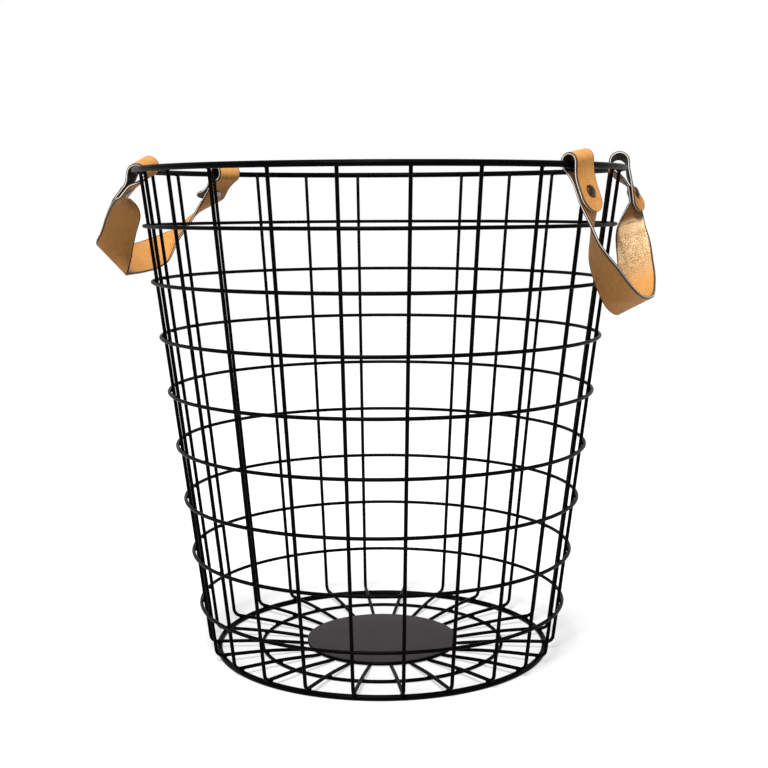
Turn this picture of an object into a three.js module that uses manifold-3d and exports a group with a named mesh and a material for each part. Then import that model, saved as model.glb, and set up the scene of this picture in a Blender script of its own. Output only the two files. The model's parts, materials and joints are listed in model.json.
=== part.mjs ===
// Round tapered wire storage basket with two leather strap handles, in millimetres, +Z up.
// The origin is the centre of the base disc's top face. +X points at the middle of the right handle.
import * as THREE from 'three';
import { mergeVertices } from 'three/addons/utils/BufferGeometryUtils.js';
import Module from 'manifold-3d';

const wasm = await Module();
wasm.setup();

// Driving dimensions of the wire body
const RIM_RADIUS = 200;          // rim wire centreline
const RIM_HEIGHT = 405;          // rim wire centreline above the floor
const FOOT_RADIUS = 146.6;       // where the line of an upright meets the top of the base ring
const FOOT_BEND = 6;             // centreline radius of the bend from upright to spoke
const HEAVY_WIRE = 4.8;          // diameter of the rim and the base ring
const LIGHT_WIRE = 3;            // diameter of the uprights, the hoops and the inner base rings
const WELD_GAP = 0.25;           // clearance left between two wires that are welded together
const UPRIGHT_COUNT = 24;
const HOOP_COUNT = 8;
const TOP_HOOP_DROP = 44.7;      // rim centreline to the top hoop
const LOW_HOOP_HEIGHT = 42.92;   // lowest hoop above the floor, with the others spaced evenly between
const BASE_RING_INSET = 6.6;     // from FOOT_RADIUS in to the base ring
const MID_RING_RADIUS = 103;
const DISC_RADIUS = 64.5;
const DISC_THICKNESS = 1.2;
const DISC_BOTTOM = 3.8;         // above the floor, with the light base rings under the disc and the spokes

// Driving dimensions of a strap handle
const LOOP_ANGLE = 20;           // degrees round the rim from the handle's middle to an end loop
const LOOP_BORE = 6.2;           // inside radius of an end loop, loose round the rim
const LOOP_RISE = 1.8;           // rim centreline to the centre of that radius, away from the tab
const LOOP_WRAP = 66;            // degrees from the tab's direction to where the loop turns round
const TUCK_TOP = 5;              // rim centreline to where a tab that is tucked starts to turn
const LEATHER = 2.4;             // strap thickness
const LAYER_GAP = 0.4;           // clearance between the tab and the strap that it is riveted to
const TAB_WIDTH = 24;
const TAB_LENGTH = 38;           // rim centreline to the round end of the tab
const RIVET_DROP = 22;           // rim centreline to the rivet, along the tab
const CLAMP_REACH = 5;           // how far the two layers lie flat on each side of the rivet
const STRAP_WIDTH = 33;
const SHOULDER = 75;             // length in which the strap widens below a tab
const FLEX_DROP = 38;            // rim centreline to the flexing neck, along the neck's axis
const FLEX_GAP = 0.4;            // clearance across the neck
const RIVET_HEAD = 9.4;          // diameters
const RIVET_CAP = 8.6;
const RIVET_POST = 3.4;
const RIVET_DOME = 2.1;          // height of the head
const CAP_HEIGHT = 1.2;
const SEAT_GAP = 0.2;            // clearance round and under a rivet

// The two handles as they hang. azimuth: place round the rim. lean: degrees that the tabs stand out
// from straight down. tuck: degrees that each tab turns towards the handle's middle. travel: swing from
// this position to upright. route: the strap below the tabs, with the place of its middle line out from
// the hinge line, along it as a share of half the span between the loops, and down from it, and the
// direction of its outer edge there.
const HANDLES = [
  {
    side: 'right',
    azimuth: 0,
    lean: 22.5,
    tuck: [0, 27],
    travel: 165,
    route: [
      { out: 10, along: -0.96, down: 47, edge: [0.25, -0.95, 0.1] },
      { out: 11, along: -0.82, down: 65, edge: [0.5, -0.85, 0.2] },
      { out: 14.7, along: -0.54, down: 83, edge: [0.6, -0.73, 0.3] },
      { out: 20.8, along: -0.13, down: 100, edge: [0.84, -0.3, 0.45] },
      { out: 23, along: 0.3, down: 108, edge: [0.9, 0, 0.42] },
      { out: 19.5, along: 0.65, down: 100, edge: [0.9, 0, 0.42] },
      { out: 15, along: 0.83, down: 82, edge: [0.92, -0.05, 0.4] },
      { out: 11, along: 0.94, down: 66, edge: [0.92, 0.1, 0.38] },
      { out: 6.8, along: 1.01, down: 47.5, edge: [0.7, 0.66, 0.26] },
    ],
  },
  {
    side: 'left',
    azimuth: 180,
    lean: 40,
    tuck: [0, 0],
    travel: 145,
    route: [
      { out: 39, along: -1.07, down: 40, edge: [0.43, -0.86, 0.25] },
      { out: 53.5, along: -1.11, down: 52.5, edge: [0.39, -0.77, 0.51] },
      { out: 64, along: -1.04, down: 65, edge: [0.46, -0.69, 0.56] },
      { out: 69, along: -0.82, down: 72, edge: [0.61, -0.54, 0.58] },
      { out: 68, along: -0.39, down: 76, edge: [0.68, -0.25, 0.69] },
      { out: 63.5, along: 0.12, down: 77.5, edge: [0.67, 0.1, 0.74] },
      { out: 60, along: 0.4, down: 76.5, edge: [0.64, 0.3, 0.71] },
      { out: 52.8, along: 0.5, down: 65.6, edge: [0.6, 0.68, 0.42] },
      { out: 43.5, along: 0.61, down: 53, edge: [0.57, 0.79, 0.22] },
      { out: 33, along: 0.73, down: 40.5, edge: [0.55, 0.82, 0.12] },
    ],
  },
];

// Fineness of the solids
const RING_STEPS = 2 * UPRIGHT_COUNT;
const HEAVY_SIDES = 8;
const LIGHT_SIDES = 6;
const BEND_STEPS = 4;
const LOOP_STEPS = 14;
const EASE_STEPS = 4;
const LEG_STEPS = 4;
const ROUND_STEPS = 5;
const FLAT_MARGIN = 0.5;
const BLOCK = 1000;
const RIVET_SEGMENTS = 16;
const DOME_STEPS = 3;

const heavy = HEAVY_WIRE / 2;
const light = LIGHT_WIRE / 2;
const spokeHeight = HEAVY_WIRE + WELD_GAP + light;
const discTop = DISC_BOTTOM + DISC_THICKNESS;
const lightRingHeight = DISC_BOTTOM - WELD_GAP - light / Math.cos(Math.PI / LIGHT_SIDES);
const innerRingRadius = DISC_RADIUS - light;
const baseRingRadius = FOOT_RADIUS - BASE_RING_INSET;

const blackCoat = { color: 0x16161a, roughness: 0.5, metalness: 0.1 };
const greyCoat = { color: 0x454244, roughness: 0.6, metalness: 0.1 };
const tanLeather = { color: 0xd49c5a, roughness: 0.6, metalness: 0 };
const bronze = { color: 0x35261b, roughness: 0.35, metalness: 0.9 };
const greyMetal = { color: 0x77777a, roughness: 0.4, metalness: 0.9 };

const radians = THREE.MathUtils.degToRad;
const { smoothstep } = THREE.MathUtils;

const basket = new THREE.Group();
basket.position.z = -discTop;

function add(parent, name, geometry, finish) {
  const mesh = new THREE.Mesh(geometry, new THREE.MeshStandardMaterial(finish));
  mesh.name = name;
  parent.add(mesh);
  return mesh;
}

// A wire's section: a regular polygon whose flats lie on the wire's real surface
function wireSection(sides, radius) {
  const corner = radius / Math.cos(Math.PI / sides);
  return Array.from({ length: sides }, (_, i) => {
    const turn = (2 * Math.PI * (i + 0.5)) / sides;
    return new THREE.Vector2(corner * Math.cos(turn), corner * Math.sin(turn));
  });
}

// A ring of wire, lying flat
function wireRing(ringRadius, height, wireRadius, sides) {
  const profile = wireSection(sides, wireRadius).map((p) => new THREE.Vector2(ringRadius + p.x, p.y));
  profile.push(profile[0].clone());
  const ring = new THREE.LatheGeometry(profile, RING_STEPS, Math.PI / 2);
  return ring.rotateX(Math.PI / 2).translate(0, 0, height);
}

// A closed solid through a row of sections that have the same number of points
function loft(sections) {
  const sides = sections[0].length;
  const last = sections.length - 1;
  const index = [];
  for (let row = 0; row < last; row += 1) {
    for (let i = 0; i < sides; i += 1) {
      const a = row * sides + i;
      const b = row * sides + ((i + 1) % sides);
      index.push(a, b, a + sides, b, b + sides, a + sides);
    }
  }
  for (let i = 1; i < sides - 1; i += 1) {
    index.push(0, i + 1, i);
    index.push(last * sides, last * sides + i, last * sides + i + 1);
  }
  const geometry = new THREE.BufferGeometry().setFromPoints(sections.flat());
  geometry.setIndex(index);
  geometry.computeVertexNormals();
  return geometry;
}

function toManifold(geometry) {
  const bare = geometry.clone();
  bare.deleteAttribute('normal');
  bare.deleteAttribute('uv');
  const merged = mergeVertices(bare);
  return new wasm.Manifold(new wasm.Mesh({
    numProp: 3,
    vertProperties: new Float32Array(merged.attributes.position.array),
    triVerts: new Uint32Array(merged.index.array),
  }));
}

function cut(geometry, ...tools) {
  const solid = tools.reduce((left, tool) => left.subtract(toManifold(tool)), toManifold(geometry));
  const { vertProperties, triVerts } = solid.getMesh();
  const result = new THREE.BufferGeometry();
  result.setAttribute('position', new THREE.BufferAttribute(vertProperties, 3));
  result.setIndex(new THREE.BufferAttribute(triVerts, 1));
  result.computeVertexNormals();
  return result;
}

// Rim, wall and base

const topRadius = RIM_RADIUS - heavy - light - WELD_GAP;
const wallSlope = (topRadius - FOOT_RADIUS) / (RIM_HEIGHT - spokeHeight);
const taper = Math.atan(wallSlope);

function wallRadius(height) {
  return FOOT_RADIUS + wallSlope * (height - spokeHeight);
}

// An upright in the plane of X and Z: down the wall, round the foot bend and in over the base ring. From
// there its spoke sinks to the middle ring, which it crosses, and on to the side of the inner ring.
function uprightGeometry() {
  const turn = Math.PI / 2 - taper;
  const tangent = FOOT_BEND * Math.tan(turn / 2);
  const centre = new THREE.Vector2(FOOT_RADIUS - tangent, spokeHeight + FOOT_BEND);
  const stations = [{ x: topRadius, z: RIM_HEIGHT, lean: taper }];
  for (let i = 0; i <= BEND_STEPS; i += 1) {
    const lean = taper + (turn * i) / BEND_STEPS;
    stations.push({
      x: centre.x + FOOT_BEND * Math.cos(lean),
      z: centre.y - FOOT_BEND * Math.sin(lean),
      lean,
    });
  }
  const spoke = [
    new THREE.Vector2(baseRingRadius, spokeHeight),
    new THREE.Vector2(MID_RING_RADIUS, DISC_BOTTOM + light),
    new THREE.Vector2(innerRingRadius + light + WELD_GAP, lightRingHeight),
  ];
  spoke.forEach(({ x, y }, i) => {
    const run = spoke[Math.min(i + 1, spoke.length - 1)].clone().sub(spoke[Math.max(i - 1, 0)]);
    stations.push({ x, z: y, lean: Math.atan2(-run.x, -run.y) });
  });
  const section = wireSection(LIGHT_SIDES, light);
  return loft(stations.map(({ x, z, lean }) => section.map((p) => new THREE.Vector3(
    x + p.x * Math.cos(lean),
    -p.y,
    z - p.x * Math.sin(lean),
  ))));
}

add(basket, 'rim_ring', wireRing(RIM_RADIUS, RIM_HEIGHT, heavy, HEAVY_SIDES), blackCoat);
add(basket, 'base_ring', wireRing(baseRingRadius, heavy, heavy, HEAVY_SIDES), blackCoat);
add(basket, 'base_mid_ring', wireRing(MID_RING_RADIUS, lightRingHeight, light, LIGHT_SIDES), blackCoat);
add(basket, 'base_inner_ring', wireRing(innerRingRadius, lightRingHeight, light, LIGHT_SIDES), blackCoat);

const disc = new THREE.CylinderGeometry(DISC_RADIUS, DISC_RADIUS, DISC_THICKNESS, RING_STEPS);
disc.rotateX(Math.PI / 2).translate(0, 0, DISC_BOTTOM + DISC_THICKNESS / 2);
add(basket, 'base_disc', disc, greyCoat);

const topHoopHeight = RIM_HEIGHT - TOP_HOOP_DROP;
const hoopPitch = (topHoopHeight - LOW_HOOP_HEIGHT) / (HOOP_COUNT - 1);
for (let i = 0; i < HOOP_COUNT; i += 1) {
  const height = topHoopHeight - i * hoopPitch;
  const radius = wallRadius(height) + LIGHT_WIRE + WELD_GAP;
  add(basket, `hoop_${i + 1}`, wireRing(radius, height, light, LIGHT_SIDES), blackCoat);
}

for (let i = 0; i < UPRIGHT_COUNT; i += 1) {
  const name = `upright_${String(i + 1).padStart(2, '0')}`;
  const upright = add(basket, name, uprightGeometry(), blackCoat);
  upright.rotation.z = (2 * Math.PI * i) / UPRIGHT_COUNT;
}

// Strap handles. Each is made in its own frame: X out from the hinge line, Y along it, Z up,
// with the hinge line through the middles of the two end loops.

const halfSpan = RIM_RADIUS * Math.sin(radians(LOOP_ANGLE));
const hingeRadius = RIM_RADIUS * Math.cos(radians(LOOP_ANGLE));
const layerOffset = (LEATHER + LAYER_GAP) / 2;
const clampTop = RIVET_DROP - CLAMP_REACH;
const clampEnd = RIVET_DROP + CLAMP_REACH;

// The frame of an end loop, end -1 or +1: its tab runs along down, and its axis lies along the rim.
// Between the rim and the clamp, what hangs down turns by the loop's tuck.
function loopFrame(end, leanDegrees, tuckDegrees) {
  const turn = end * radians(LOOP_ANGLE);
  const lean = radians(leanDegrees);
  const tuck = end * radians(tuckDegrees);
  const outward = new THREE.Vector3(Math.cos(turn), Math.sin(turn), 0);
  const down = outward.clone().multiplyScalar(Math.sin(lean)).setZ(-Math.cos(lean));
  const face = outward.clone().multiplyScalar(Math.cos(lean)).setZ(Math.sin(lean));
  const width = new THREE.Vector3(-Math.sin(turn), Math.cos(turn), 0).multiplyScalar(end);
  const centre = new THREE.Vector3(0, end * halfSpan, 0);
  const tucked = (direction, along) => {
    const share = smoothstep(along, TUCK_TOP, clampTop);
    return direction.clone().applyAxisAngle(down, tuck * share);
  };
  return {
    face: tucked(face, clampTop),
    widthAt: (along) => tucked(width, along),
    at: (along, away) => {
      const place = centre.clone().addScaledVector(down, along);
      return place.addScaledVector(tucked(face, along), away);
    },
  };
}

// Stations from the round tip of a tab, over the rim and back to the clamp below the rivet
function loopStations(frame) {
  const rho = LOOP_BORE + LEATHER / 2;
  const wrap = radians(LOOP_WRAP);
  const half = TAB_WIDTH / 2;
  const stations = [];
  const station = (along, away, halfWidth = half) => {
    stations.push({ point: frame.at(along, away), width: frame.widthAt(along), half: halfWidth });
  };
  for (let i = 0; i < ROUND_STEPS; i += 1) {
    const turn = ((i + 0.4) / ROUND_STEPS) * (Math.PI / 2);
    station(TAB_LENGTH - half + half * Math.cos(turn), layerOffset, half * Math.sin(turn));
  }
  station(TAB_LENGTH - half, layerOffset);
  const turnStart = new THREE.Vector2(rho * Math.cos(wrap) - LOOP_RISE, rho * Math.sin(wrap));
  const control = turnStart.x + (turnStart.y - layerOffset) * Math.tan(wrap);
  const ease = new THREE.QuadraticBezierCurve(
    new THREE.Vector2(clampTop, layerOffset),
    new THREE.Vector2(control, layerOffset),
    turnStart,
  ).getPoints(EASE_STEPS);
  ease.forEach((p) => station(p.x, p.y));
  for (let i = 1; i < LOOP_STEPS; i += 1) {
    const turn = wrap + (2 * (Math.PI - wrap) * i) / LOOP_STEPS;
    station(rho * Math.cos(turn) - LOOP_RISE, rho * Math.sin(turn));
  }
  ease.reverse().forEach((p) => station(p.x, -p.y));
  station(clampEnd - FLAT_MARGIN, -layerOffset);
  return stations;
}

// Stations along the hanging strap, from one clamp to the other
function legStations(frames, route) {
  const ends = frames.map((frame) => ({
    point: frame.at(clampEnd, -layerOffset),
    edge: frame.widthAt(clampEnd),
  }));
  const rows = route.map(({ out, along, down, edge }) => ({
    point: new THREE.Vector3(out, along * halfSpan, -down),
    edge: new THREE.Vector3(...edge).normalize(),
  }));
  rows.unshift(ends[0]);
  rows.push(ends[1]);
  const middle = new THREE.CatmullRomCurve3(rows.map((row) => row.point));
  const edges = new THREE.CatmullRomCurve3(rows.map((row) => row.edge));
  const steps = LEG_STEPS * (rows.length - 1);
  const points = middle.getPoints(steps);
  const reach = [0];
  for (let i = 1; i <= steps; i += 1) reach.push(reach[i - 1] + points[i].distanceTo(points[i - 1]));
  return points.map((point, i) => {
    const wide = smoothstep(Math.min(reach[i], reach[steps] - reach[i]), 0, SHOULDER);
    const half = THREE.MathUtils.lerp(TAB_WIDTH, STRAP_WIDTH, wide) / 2;
    return { point, width: edges.getPoint(i / steps), half };
  });
}

// A flat strap through stations: four corners each. Where the fold line slants across the strap, the
// section is longer by that slant, so the strap keeps its width.
function strapGeometry(stations) {
  const last = stations.length - 1;
  return loft(stations.map(({ point, width, half }, i) => {
    const run = stations[Math.min(i + 1, last)].point.clone();
    run.sub(stations[Math.max(i - 1, 0)].point).normalize();
    const across = width.clone().normalize();
    const thick = run.clone().cross(across);
    const slant = thick.length();
    thick.normalize();
    return [[1, 1], [-1, 1], [-1, -1], [1, -1]].map(([a, b]) => {
      const corner = point.clone().addScaledVector(across, (a * half) / slant);
      return corner.addScaledVector(thick, (b * LEATHER) / 2);
    });
  }));
}

// A block that fills everything on one side, +1 or -1, of a plane square to an axis
function halfSpace(axis, height, side) {
  const block = new THREE.BoxGeometry(BLOCK, BLOCK, BLOCK);
  const turn = new THREE.Quaternion().setFromUnitVectors(new THREE.Vector3(0, 0, 1), axis);
  const centre = axis.clone().multiplyScalar(height + (side * BLOCK) / 2);
  return block.applyQuaternion(turn).translate(centre.x, centre.y, centre.z);
}

function rivetGeometry() {
  const seat = LAYER_GAP / 2 + LEATHER + SEAT_GAP;
  const profile = [
    new THREE.Vector2(0, -seat),
    new THREE.Vector2(RIVET_POST / 2, -seat),
    new THREE.Vector2(RIVET_POST / 2, seat),
  ];
  for (let i = 0; i <= DOME_STEPS; i += 1) {
    const turn = ((Math.PI / 2) * i) / DOME_STEPS;
    profile.push(new THREE.Vector2((RIVET_HEAD / 2) * Math.cos(turn), seat + RIVET_DOME * Math.sin(turn)));
  }
  profile[profile.length - 1].x = 0;
  return new THREE.LatheGeometry(profile, RIVET_SEGMENTS);
}

function rivetCapGeometry() {
  const seat = LAYER_GAP / 2 + LEATHER + 2 * SEAT_GAP;
  const profile = [
    new THREE.Vector2(0, -seat - CAP_HEIGHT),
    new THREE.Vector2(RIVET_POST, -seat - CAP_HEIGHT),
    new THREE.Vector2(RIVET_CAP / 2, -seat - CAP_HEIGHT / 2),
    new THREE.Vector2(RIVET_CAP / 2, -seat),
    new THREE.Vector2(0, -seat),
  ];
  return new THREE.LatheGeometry(profile, RIVET_SEGMENTS);
}

// Turns and moves a geometry made round the Y axis so that it stands on the rivet's axis of a loop
function atRivet(geometry, frame) {
  const turn = new THREE.Quaternion().setFromUnitVectors(new THREE.Vector3(0, 1, 0), frame.face);
  const place = frame.at(RIVET_DROP, 0);
  return geometry.applyQuaternion(turn).translate(place.x, place.y, place.z);
}

function addHandle({ side, azimuth, lean, tuck, travel, route }) {
  const handle = new THREE.Group();
  const turn = radians(azimuth);
  handle.position.set(hingeRadius * Math.cos(turn), hingeRadius * Math.sin(turn), RIM_HEIGHT);
  handle.rotation.z = turn;
  basket.add(handle);

  const frames = [loopFrame(-1, lean, tuck[0]), loopFrame(1, lean, tuck[1])];
  const loops = frames.map(loopStations);
  const whole = strapGeometry([...loops[0], ...legStations(frames, route), ...loops[1].reverse()]);

  // The strap flexes at its two necks, so each end loop is a piece of its own there
  const axisLean = radians(90 - travel / 2);
  const axis = new THREE.Vector3(-Math.sin(axisLean), 0, Math.cos(axisLean));
  const below = halfSpace(axis, FLEX_GAP / 2 - FLEX_DROP, -1);
  const above = halfSpace(axis, -FLEX_GAP / 2 - FLEX_DROP, 1);
  add(handle, `strap_${side}`, cut(whole, above), tanLeather);

  frames.forEach((frame, i) => {
    const label = 'ab'[i];
    const otherEnd = halfSpace(new THREE.Vector3(0, 1, 0), 0, i === 0 ? 1 : -1);
    const bore = RIVET_POST / 2 + SEAT_GAP;
    const hole = new THREE.CylinderGeometry(bore, bore, 4 * LEATHER, RIVET_SEGMENTS);
    const loop = cut(whole, below, otherEnd, atRivet(hole, frame));
    add(handle, `strap_${side}_loop_${label}`, loop, tanLeather);
    add(handle, `rivet_${side}_${label}`, atRivet(rivetGeometry(), frame), bronze);
    add(handle, `rivet_cap_${side}_${label}`, atRivet(rivetCapGeometry(), frame), greyMetal);
  });
}

HANDLES.forEach(addHandle);

export default basket;
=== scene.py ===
"""Looks of the round wire storage basket with leather strap handles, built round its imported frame.

Lengths are written in millimetres and made into metres by MM. +Z is up, and the origin is the centre of
the base disc's top face.
"""
import json
import math
from collections import namedtuple

import bmesh
import bpy
import numpy as np
from mathutils import Matrix, Vector


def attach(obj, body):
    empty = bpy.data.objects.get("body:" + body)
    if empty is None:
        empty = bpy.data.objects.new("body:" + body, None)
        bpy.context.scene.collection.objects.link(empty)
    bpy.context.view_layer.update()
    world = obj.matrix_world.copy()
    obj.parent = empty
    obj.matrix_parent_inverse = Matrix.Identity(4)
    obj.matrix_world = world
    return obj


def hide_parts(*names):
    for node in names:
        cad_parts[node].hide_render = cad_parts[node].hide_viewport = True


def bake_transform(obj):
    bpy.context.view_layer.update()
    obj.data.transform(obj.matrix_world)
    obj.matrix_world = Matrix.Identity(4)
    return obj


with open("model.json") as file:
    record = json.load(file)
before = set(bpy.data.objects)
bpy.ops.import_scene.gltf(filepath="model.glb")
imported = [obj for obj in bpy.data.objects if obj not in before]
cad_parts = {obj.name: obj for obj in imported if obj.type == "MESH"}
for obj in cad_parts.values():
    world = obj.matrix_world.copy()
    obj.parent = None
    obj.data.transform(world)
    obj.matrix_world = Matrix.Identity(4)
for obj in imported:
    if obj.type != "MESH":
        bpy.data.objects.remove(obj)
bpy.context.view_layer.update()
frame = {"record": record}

MM = 0.001

# Wire body, as in the solids
RIM_RADIUS = 200
RIM_HEIGHT = 405
FOOT_RADIUS = 146.6
FOOT_BEND = 6
HEAVY = 4.8 / 2
LIGHT = 3 / 2
WELD_GAP = 0.25
UPRIGHT_COUNT = 24
HOOP_COUNT = 8
TOP_HOOP_DROP = 44.7
LOW_HOOP_HEIGHT = 42.92
BASE_RING_INSET = 6.6
MID_RING_RADIUS = 103
DISC_RADIUS = 64.5
DISC_THICKNESS = 1.2
DISC_BOTTOM = 3.8
SOLID_WIRE_SIDES = 6

# Rounding of the disc's edge and of the uprights' ends
DISC_EDGE = 0.45
WIRE_END_SIZE = 0.82
WIRE_END_LENGTH = 0.35

# Weld metal: its radii out, round the basket and up, and where it sits at the rim
WALL_WELD = (1.1, 1.7, 1.6)
RIM_WELD = (1.6, 2.0, 1.9)
BASE_WELD = (1.9, 1.8, 1.1)
MID_WELD = (1.6, 1.7, 1.1)
INNER_WELD = (1.1, 1.7, 1.2)
RIM_WELD_OUT = 0.2
RIM_WELD_DROP = 0.9

# Strap handles, as in the solids
LOOP_ANGLE = math.radians(20)
LOOP_WRAP = math.radians(66)
LEATHER = 2.4
LAYER_GAP = 0.4
TAB_WIDTH = 24
TAB_LENGTH = 38
RIVET_DROP = 22
CLAMP_REACH = 5
TUCK_TOP = 5
STRAP_WIDTH = 33
RIVET_HEAD = 9.4
RIVET_CAP = 8.6
RIVET_POST = 3.4
RIVET_DOME = 2.1
CAP_HEIGHT = 1.2
SEAT_GAP = 0.2

# The reach given to leather without creases
FAR_REACH = 1000

# Turned rivets: the lip under the head, the fullness of its dome, the cap's edge and the dish in the cap
HEAD_LIP = 0.25
DOME_SINK = 0.05
DOME_OUT, DOME_UP = 0.85, 0.9
CAP_CHAMFER = 0.15
CAP_LIP = 0.2
CAP_ROUND = 0.9
DISH_RIM = 0.5
DISH_WALL = 0.25
DISH_DEPTH = 0.3

# How each end loop sits: its tab's turn about its own length, the arch's slope along the rim and its
# shift in from the rim, the arch's bore and rise over the rim, how far the tab's tip stands off, how
# far below it the strap reaches its full width, and whether the strap is creased there
LoopShape = namedtuple("LoopShape", "tuck slope shift bore rise flare shoulder creased")

HANDLES = {
    "right": {
        "azimuth": 0,
        "lean": 22.5,
        "travel": 165,
        "shapes": (
            LoopShape(tuck=0, slope=9, shift=0, bore=5.0, rise=3.0, flare=0, shoulder=75, creased=False),
            LoopShape(tuck=30, slope=12, shift=2.2, bore=6.2, rise=4.0, flare=0, shoulder=75, creased=True),
        ),
        # out from the hinge line, along it as a share of half the span, down, direction of the outer edge
        "route": [
            (10, -0.96, 47, (0.25, -0.95, 0.1)),
            (11, -0.82, 65, (0.5, -0.85, 0.2)),
            (14.7, -0.54, 83, (0.6, -0.73, 0.3)),
            (20.5, -0.15, 102.5, (0.85, -0.42, 0.32)),
            (23, 0.3, 108, (0.88, -0.09, 0.47)),
            (19.5, 0.65, 100, (0.87, -0.02, 0.49)),
            (15, 0.83, 82, (0.89, -0.07, 0.46)),
            (11, 0.94, 66, (0.92, 0.1, 0.38)),
            (6.8, 1.01, 47.5, (0.7, 0.66, 0.26)),
        ],
    },
    "left": {
        "azimuth": 180,
        "lean": 40,
        "travel": 145,
        "shapes": (
            LoopShape(tuck=0, slope=0, shift=0, bore=5.2, rise=1.4, flare=11, shoulder=75, creased=False),
            LoopShape(tuck=0, slope=23, shift=0, bore=6.2, rise=1.8, flare=0, shoulder=40, creased=False),
        ),
        "route": [
            (39, -1.07, 40, (0.41, -0.88, 0.24)),
            (53.5, -1.11, 52.8, (0.33, -0.81, 0.48)),
            (63.7, -1.05, 65.5, (0.43, -0.66, 0.61)),
            (68.9, -0.83, 72.1, (0.61, -0.43, 0.67)),
            (67.9, -0.39, 76.5, (0.68, -0.21, 0.7)),
            (63.5, 0.12, 77.5, (0.66, 0.11, 0.74)),
            (60, 0.4, 76.3, (0.61, 0.32, 0.73)),
            (52.8, 0.51, 65.2, (0.54, 0.74, 0.4)),
            (43.5, 0.61, 52.3, (0.51, 0.85, 0.08)),
            (33, 0.73, 39, (0.56, 0.8, -0.08)),
        ],
    },
}

# Fineness
RING_STEPS = 192
HEAVY_SIDES = 16
LIGHT_SIDES = 12
WALL_STEPS = 24
BEND_STEPS = 10
SPOKE_STEPS = 16
SPOKE_PROBE = 0.01
DISC_EDGE_STEPS = 6
WELD_RINGS = 6
WELD_SIDES = 10
LOOP_STEPS = 40
EASE_STEPS = 12
LEG_STEPS = 14
TIP_STEPS = 16
TIP_LEAD = 0.25
TAB_STEPS = (0, 2, 4)
LATHE_STEPS = 40
DOME_STEPS = 9
CAP_STEPS = 5
EDGE_STEPS = 6
EDGE_DEPTH = 0.7
EDGE_SHARE = 0.9
EDGE_OFFSETS = (1.5, 3.0, 5.5)
MIDDLE_POINTS = 5
SAME_POINT = 1e-4
SHARP_PIECE = 50
SHARP_RIVET = 40

# What the finish knows of each point of a strap: its place, its distance from the edge, its reach below
# a creased clamp and how far it is hidden inside a loop, which sets the painted shade there
STRAP_PLACE = "strap_place"
STRAP_FACTS = ("strap_edge", "strap_reach", "strap_hidden")

# Grain of the finishes, in cells per metre, and the depth of its relief
COAT_CLOUDS, COAT_GRAIN = 60, 900
METAL_PATCHES, METAL_GRAIN = 420, 1500
METAL_RELIEF = 0.05
CLOUDS, MOTTLE, PEBBLES, PORES = 28, 210, 620, 1900
WRINKLES, WRINKLE_WAVES = 540, 260
WRINKLE_WARP = 0.0012
WRINKLE_WIDTH = 0.22
LEATHER_RELIEF = 0.22
PORE_RISE = 0.4
PEBBLE_SINK, CREASE_SINK, WRINKLE_SINK = 0.7, 2.0, 1.3
EDGE_WAVES, EDGE_FIBRE = 90, 1400
EDGE_RELIEF = 0.1

# The middle of a noise, and spreads of the leather's tints: low, high, start and end
MIDDLE = (0.3, 0.7)
METAL_MIDDLE = (0.35, 0.68)
FLECK_SPREAD = (0.35, 0.75, 0, 0.4)
PIT_SPREAD = (0.45, 0.8, 0, 0.35)
# Spread of the painted sheen over the reach below a creased clamp
SHEEN_PAINT_SPREAD = (80, 40, 0, 0.62)
SHADE_SPREAD = (19, 12, 0, 0.85)
MARGIN_SPREAD = (0.7, 1.7, 0.93, 0)
CRUMPLE_START, CRUMPLE_END = (20, 30), (78, 52)
CRUMPLE_SPREAD = (0.3, 0.55, 0.35, 1)
# Shares of the wrinkles' dark lines, of the painted shade in the folds and of the painted shade inside the
# loops
WRINKLE_SHARE, CREASE_SHADE_SHARE, LOOP_SHADE_SHARE = 0.85, 0.5, 0.93
LEATHER_ROUGH, LEATHER_SHINE = (0.5, 0.66), 0.14
EDGE_ROUGH, EDGE_SHINE = (0.4, 0.6), 0.3

# Folds of the creased strap: their reach below the clamp, their width, their waves and their breaks
CREASE_REACH = (15, 19)
CREASE_WIDTH = 1.3
CREASE_WAVES, CREASE_WANDER = 45, 5
CREASE_BREAKS, CREASE_BREAK_SPREAD = 110, (0.35, 0.6)

# Pale core of the cut edge: from its half width to full paint, and how far it wanders
CORE_SPREAD = (0.2 * MM, 0.42 * MM)
CORE_WANDER = 0.5 * MM

# Colours
TAN = ((0.57, 0.25, 0.062, 1), (0.70, 0.325, 0.09, 1))
FLECK_PALE = (0.78, 0.40, 0.135, 1)
PIT_DARK = (0.40, 0.165, 0.038, 1)
# Painted sheen: a paler tint that stands in for the gloss of the leather below a creased clamp
SHEEN_PAINT_PALE = (1.0, 0.82, 0.51, 1)
WRINKLE_DARK = (0.44, 0.20, 0.06, 1)
# Painted shadow under the tab of a creased loop
SHADE_DARK = (0.27, 0.10, 0.022, 1)
# Painted shade in the folds of the creased strap
CREASE_SHADE_PAINT = (0.22, 0.10, 0.03, 1)
MARGIN_DARK = (0.030, 0.015, 0.009, 1)
# Painted shade on the leather's faces inside the end loops
LOOP_SHADE_PAINT = (0.018, 0.009, 0.006, 1)
EDGE_PAINT = ((0.010, 0.006, 0.004, 1), (0.026, 0.015, 0.010, 1))
EDGE_FLESH = ((0.70, 0.60, 0.50, 1), (0.86, 0.78, 0.70, 1))
WHITE = (1, 1, 1, 1)
FLOOR_GREY = (0.44, 0.44, 0.44, 1)

# Camera, fitted to the photograph: its frame has x to the right, y away and z up from the base ring
CAMERA_SPIN = math.radians(23.58)
CAMERA_PLACE = (2.727, -1122.25, 374.58)
CAMERA_PITCH = math.radians(7.663)
CAMERA_ROLL = math.radians(-0.272)
FOCAL_PIXELS = 1337.55
IMAGE_PIXELS = 768
SENSOR = 36

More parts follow.
